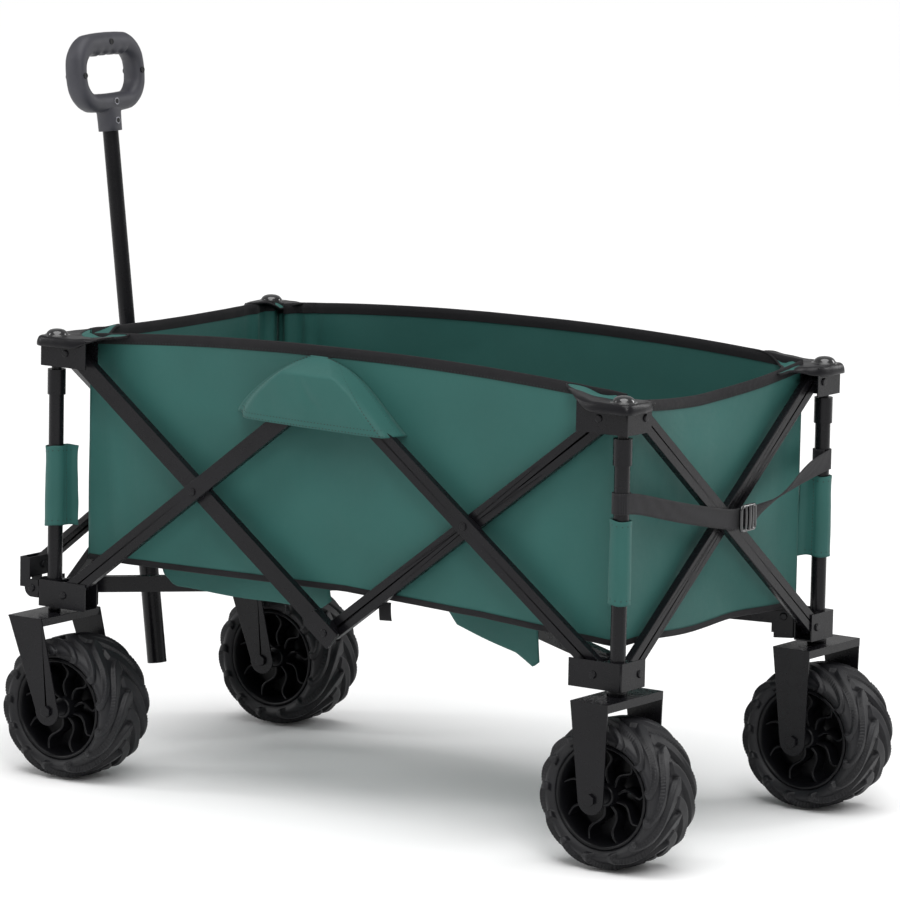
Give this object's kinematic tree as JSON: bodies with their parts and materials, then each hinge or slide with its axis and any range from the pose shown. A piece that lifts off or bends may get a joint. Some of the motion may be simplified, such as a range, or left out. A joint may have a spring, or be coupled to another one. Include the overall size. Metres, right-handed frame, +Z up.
{
  "type": "folding wagon",
  "caption": "Folding camp wagon: a scissor frame of black bars and telescoping posts on wide wheels, with a green fabric tub and a telescoping pull handle.",
  "frame": {"origin": "bottom centre of the wagon's box, on the ground", "axes": "+X from the handle end to the rear end, +Y to the wagon's right, +Z up"},
  "size_m": [1.0694, 0.578, 0.9175],
  "materials": {
    "tub_cloth": "woven green polyester",
    "webbing": "black woven webbing",
    "black_plastic": "fine-textured black plastic",
    "tyre": "matt dark rubber",
    "rim_plastic": "moulded black plastic",
    "frame_paint": "semi-gloss black powder coat"
  },
  "bodies": {
    "base_rl": {"lower_bracket_rl": "frame_paint", "outer_post_rl": "frame_paint", "fork_rl": "frame_paint", "rear_strap": "webbing", "strap_buckle": "black_plastic"},
    "bar_left_rear_low": {"side_bar_left_rear_low": "frame_paint"},
    "bar_left_rear_high": {"side_bar_left_rear_high": "frame_paint"},
    "bar_left_front_low": {"side_bar_left_front_low": "frame_paint"},
    "bar_left_front_high": {"side_bar_left_front_high": "frame_paint"},
    "bar_right_rear_low": {"side_bar_right_rear_low": "frame_paint"},
    "bar_right_rear_high": {"side_bar_right_rear_high": "frame_paint"},
    "bar_right_front_low": {"side_bar_right_front_low": "frame_paint"},
    "bar_right_front_high": {"side_bar_right_front_high": "frame_paint"},
    "bar_rear_rising": {"end_bar_rear_rising": "frame_paint"},
    "bar_rear_falling": {"end_bar_rear_falling": "frame_paint"},
    "bar_front_rising": {"end_bar_front_rising": "frame_paint"},
    "bar_front_falling": {"end_bar_front_falling": "frame_paint"},
    "base_rr": {"lower_bracket_rr": "frame_paint", "outer_post_rr": "frame_paint", "fork_rr": "frame_paint"},
    "base_fl": {"lower_bracket_fl": "frame_paint", "outer_post_fl": "frame_paint"},
    "base_fr": {"lower_bracket_fr": "frame_paint", "outer_post_fr": "frame_paint"},
    "top_fl": {"upper_bracket_fl": "frame_paint", "corner_cap_fl": "black_plastic", "tub_front": "tub_cloth"},
    "top_fr": {"upper_bracket_fr": "frame_paint", "corner_cap_fr": "black_plastic"},
    "top_rl": {"upper_bracket_rl": "frame_paint", "corner_cap_rl": "black_plastic", "tub_left": "tub_cloth", "tub_rear": "tub_cloth"},
    "top_rr": {"upper_bracket_rr": "frame_paint", "corner_cap_rr": "black_plastic", "tub_right": "tub_cloth"},
    "arm_fl": {"floor_arm_fl": "frame_paint"},
    "arm_fr": {"floor_arm_fr": "frame_paint"},
    "arm_rl": {"floor_arm_rl": "frame_paint"},
    "arm_rr": {"floor_arm_rr": "frame_paint"},
    "hub": {"floor_hub": "frame_paint", "tub_floor": "tub_cloth"},
    "caster_fl": {"fork_fl": "frame_paint"},
    "wheel_fl": {"tyre_fl": "tyre", "rim_fl": "rim_plastic"},
    "caster_fr": {"fork_fr": "frame_paint"},
    "wheel_fr": {"tyre_fr": "tyre", "rim_fr": "rim_plastic"},
    "wheel_rl": {"tyre_rl": "tyre", "rim_rl": "rim_plastic"},
    "wheel_rr": {"tyre_rr": "tyre", "rim_rr": "rim_plastic"},
    "knuckle_l": {"knuckle_fl": "frame_paint"},
    "knuckle_r": {"knuckle_fr": "frame_paint"},
    "link_l": {"handle_link_fl": "frame_paint"},
    "link_r": {"handle_link_fr": "frame_paint"},
    "handle": {"handle_tube": "frame_paint"},
    "stem": {"handle_stem": "frame_paint", "handle_grip": "black_plastic"},
    "button": {"handle_button": "black_plastic"}
  },
  "joints": [
    {"name": "fold", "type": "hinge", "parent": "base_rl", "child": "bar_left_rear_low", "pos_m": [0.41473, -0.225, 0.23], "axis": [0, 1, 0], "range_deg": [0, 41], "deforming": ["tub_left", "tub_right", "tub_front", "tub_rear", "tub_floor", "rear_strap", "strap_buckle"]},
    {"name": "left_rear_scissor", "type": "hinge", "parent": "bar_left_rear_low", "child": "bar_left_rear_high", "pos_m": [0.21473, -0.225, 0.3835], "axis": [0, 1, 0], "range_deg": [-82.5, 0]},
    {"name": "top_rl_pivot", "type": "hinge", "parent": "bar_left_rear_high", "child": "top_rl", "pos_m": [0.41473, -0.225, 0.537], "axis": [0, 1, 0], "range_deg": [0, 41.5]},
    {"name": "left_top_middle", "type": "hinge", "parent": "bar_left_rear_low", "child": "bar_left_front_low", "pos_m": [0.01473, -0.225, 0.537], "axis": [0, 1, 0], "range_deg": [-82.5, 0]},
    {"name": "left_front_scissor", "type": "hinge", "parent": "bar_left_front_low", "child": "bar_left_front_high", "pos_m": [-0.18527, -0.225, 0.3835], "axis": [0, 1, 0], "range_deg": [0, 82.5]},
    {"name": "base_fl_pivot", "type": "hinge", "parent": "bar_left_front_low", "child": "base_fl", "pos_m": [-0.38527, -0.225, 0.23], "axis": [0, 1, 0], "range_deg": [0, 41.5]},
    {"name": "top_fl_pivot", "type": "hinge", "parent": "bar_left_front_high", "child": "top_fl", "pos_m": [-0.38527, -0.225, 0.537], "axis": [0, 1, 0], "range_deg": [-41.5, 0]},
    {"name": "right_rear_bar", "type": "hinge", "parent": "base_rr", "child": "bar_right_rear_low", "pos_m": [0.41473, 0.225, 0.23], "axis": [0, 1, 0], "range_deg": [0, 41.5]},
    {"name": "right_rear_scissor", "type": "hinge", "parent": "bar_right_rear_low", "child": "bar_right_rear_high", "pos_m": [0.21473, 0.225, 0.3835], "axis": [0, 1, 0], "range_deg": [-82.5, 0]},
    {"name": "right_top_middle", "type": "hinge", "parent": "bar_right_rear_low", "child": "bar_right_front_low", "pos_m": [0.01473, 0.225, 0.537], "axis": [0, 1, 0], "range_deg": [-82.5, 0]},
    {"name": "right_front_scissor", "type": "hinge", "parent": "bar_right_front_low", "child": "bar_right_front_high", "pos_m": [-0.18527, 0.225, 0.3835], "axis": [0, 1, 0], "range_deg": [0, 82.5]},
    {"name": "base_fr_pivot", "type": "hinge", "parent": "bar_right_front_low", "child": "base_fr", "pos_m": [-0.38527, 0.225, 0.23], "axis": [0, 1, 0], "range_deg": [0, 41.5]},
    {"name": "top_fr_pivot", "type": "hinge", "parent": "bar_right_front_high", "child": "top_fr", "pos_m": [-0.38527, 0.225, 0.537], "axis": [0, 1, 0], "range_deg": [-41.5, 0]},
    {"name": "rear_bar_rising", "type": "hinge", "parent": "base_rl", "child": "bar_rear_rising", "pos_m": [0.43973, -0.2, 0.23], "axis": [1, 0, 0], "range_deg": [0, 41.5]},
    {"name": "rear_scissor", "type": "hinge", "parent": "bar_rear_rising", "child": "bar_rear_falling", "pos_m": [0.43973, 0, 0.3835], "axis": [1, 0, 0], "range_deg": [-82.5, 0]},
    {"name": "base_rr_pivot", "type": "hinge", "parent": "bar_rear_falling", "child": "base_rr", "pos_m": [0.43973, 0.2, 0.23], "axis": [1, 0, 0], "range_deg": [0, 41.5]},
    {"name": "top_rr_pivot", "type": "hinge", "parent": "bar_rear_rising", "child": "top_rr", "pos_m": [0.43973, 0.2, 0.537], "axis": [1, 0, 0], "range_deg": [-41.5, 0]},
    {"name": "front_bar_rising", "type": "hinge", "parent": "base_fl", "child": "bar_front_rising", "pos_m": [-0.41027, -0.2, 0.23], "axis": [1, 0, 0], "range_deg": [0, 41.5]},
    {"name": "front_scissor", "type": "hinge", "parent": "bar_front_rising", "child": "bar_front_falling", "pos_m": [-0.41027, 0, 0.3835], "axis": [1, 0, 0], "range_deg": [-82.5, 0]},
    {"name": "arm_fl_pivot", "type": "hinge", "parent": "base_fl", "child": "arm_fl", "pos_m": [-0.37927, -0.197, 0.24], "axis": [0.4472, -0.8944, 0], "range_deg": [0, 83.43]},
    {"name": "arm_fr_pivot", "type": "hinge", "parent": "base_fr", "child": "arm_fr", "pos_m": [-0.37927, 0.197, 0.24], "axis": [-0.4472, -0.8944, 0], "range_deg": [0, 83.43]},
    {"name": "arm_rl_pivot", "type": "hinge", "parent": "base_rl", "child": "arm_rl", "pos_m": [0.40873, -0.197, 0.24], "axis": [0.4472, 0.8944, 0], "range_deg": [0, 83.43]},
    {"name": "arm_rr_pivot", "type": "hinge", "parent": "base_rr", "child": "arm_rr", "pos_m": [0.40873, 0.197, 0.24], "axis": [-0.4472, 0.8944, 0], "range_deg": [0, 83.43]},
    {"name": "hub_pivot", "type": "hinge", "parent": "arm_rl", "child": "hub", "pos_m": [0.08629, -0.03578, 0.25889], "axis": [0.4472, 0.8944, 0], "range_deg": [-83.43, 0]},
    {"name": "caster_fl_swivel", "type": "hinge", "parent": "base_fl", "child": "caster_fl", "pos_m": [-0.41027, -0.225, 0.206], "axis": [0, 0, 1], "continuous": true},
    {"name": "wheel_fl_spin", "type": "hinge", "parent": "caster_fl", "child": "wheel_fl", "pos_m": [-0.37367, -0.225, 0.09], "axis": [0, 1, 0], "continuous": true},
    {"name": "caster_fr_swivel", "type": "hinge", "parent": "base_fr", "child": "caster_fr", "pos_m": [-0.41027, 0.225, 0.206], "axis": [0, 0, 1], "continuous": true},
    {"name": "wheel_fr_spin", "type": "hinge", "parent": "caster_fr", "child": "wheel_fr", "pos_m": [-0.37367, 0.225, 0.09], "axis": [0, 1, 0], "continuous": true},
    {"name": "wheel_rl_spin", "type": "hinge", "parent": "base_rl", "child": "wheel_rl", "pos_m": [0.44473, -0.225, 0.09], "axis": [0, 1, 0], "continuous": true},
    {"name": "wheel_rr_spin", "type": "hinge", "parent": "base_rr", "child": "wheel_rr", "pos_m": [0.44473, 0.225, 0.09], "axis": [0, 1, 0], "continuous": true},
    {"name": "handle_swing", "type": "hinge", "parent": "base_fl", "child": "knuckle_l", "pos_m": [-0.43527, -0.225, 0.234], "axis": [0, -1, 0], "range_deg": [0, 80]},
    {"name": "knuckle_r_swing", "type": "hinge", "parent": "base_fr", "child": "knuckle_r", "pos_m": [-0.43527, 0.225, 0.234], "axis": [0, -1, 0], "range_deg": [0, 80.5]},
    {"name": "link_l_pivot", "type": "hinge", "parent": "knuckle_l", "child": "link_l", "pos_m": [-0.44819, -0.209, 0.26], "axis": [1, 0, 0], "range_deg": [0, 57.84]},
    {"name": "handle_link_l", "type": "hinge", "parent": "link_l", "child": "handle", "pos_m": [-0.44819, -0.0245, 0.337], "axis": [1, 0, 0], "range_deg": [-57.84, 0]},
    {"name": "handle_link_r", "type": "hinge", "parent": "handle", "child": "link_r", "pos_m": [-0.44819, 0.0245, 0.337], "axis": [1, 0, 0], "range_deg": [-57.84, 0]},
    {"name": "handle_slide", "type": "slide", "parent": "handle", "child": "stem", "axis": [-0.1245, 0, 0.9922], "range_m": [-0.285, 0]},
    {"name": "release_button", "type": "slide", "parent": "handle", "child": "button", "axis": [0.9922, 0, 0.1245], "range_m": [0, 0.0025], "stiffness_N_per_m": 300}
  ],
  "couplings": [
    {"joint": "left_rear_scissor", "follows": "fold", "ratio": -2},
    {"joint": "top_rl_pivot", "follows": "fold", "ratio": 1},
    {"joint": "left_top_middle", "follows": "fold", "ratio": -2},
    {"joint": "left_front_scissor", "follows": "fold", "ratio": 2},
    {"joint": "base_fl_pivot", "follows": "fold", "ratio": 1},
    {"joint": "top_fl_pivot", "follows": "fold", "ratio": -1},
    {"joint": "right_rear_bar", "follows": "fold", "ratio": 1},
    {"joint": "right_rear_scissor", "follows": "fold", "ratio": -2},
    {"joint": "right_top_middle", "follows": "fold", "ratio": -2},
    {"joint": "right_front_scissor", "follows": "fold", "ratio": 2},
    {"joint": "base_fr_pivot", "follows": "fold", "ratio": 1},
    {"joint": "top_fr_pivot", "follows": "fold", "ratio": -1},
    {"joint": "rear_bar_rising", "follows": "fold", "ratio": 1},
    {"joint": "rear_scissor", "follows": "fold", "ratio": -2},
    {"joint": "base_rr_pivot", "follows": "fold", "ratio": 1},
    {"joint": "top_rr_pivot", "follows": "fold", "ratio": -1},
    {"joint": "front_bar_rising", "follows": "fold", "ratio": 1},
    {"joint": "front_scissor", "follows": "fold", "ratio": -2},
    {"joint": "arm_fl_pivot", "follows": "fold", "ratio": 2.0227},
    {"joint": "arm_fr_pivot", "follows": "fold", "ratio": 2.0227},
    {"joint": "arm_rl_pivot", "follows": "fold", "ratio": 2.0227},
    {"joint": "arm_rr_pivot", "follows": "fold", "ratio": 2.0227},
    {"joint": "hub_pivot", "follows": "fold", "ratio": -2.0227},
    {"joint": "knuckle_r_swing", "follows": "handle_swing", "ratio": 1},
    {"joint": "link_l_pivot", "follows": "fold", "ratio": 1.3986},
    {"joint": "handle_link_l", "follows": "fold", "ratio": -1.3986},
    {"joint": "handle_link_r", "follows": "fold", "ratio": -1.3986}
  ]
}
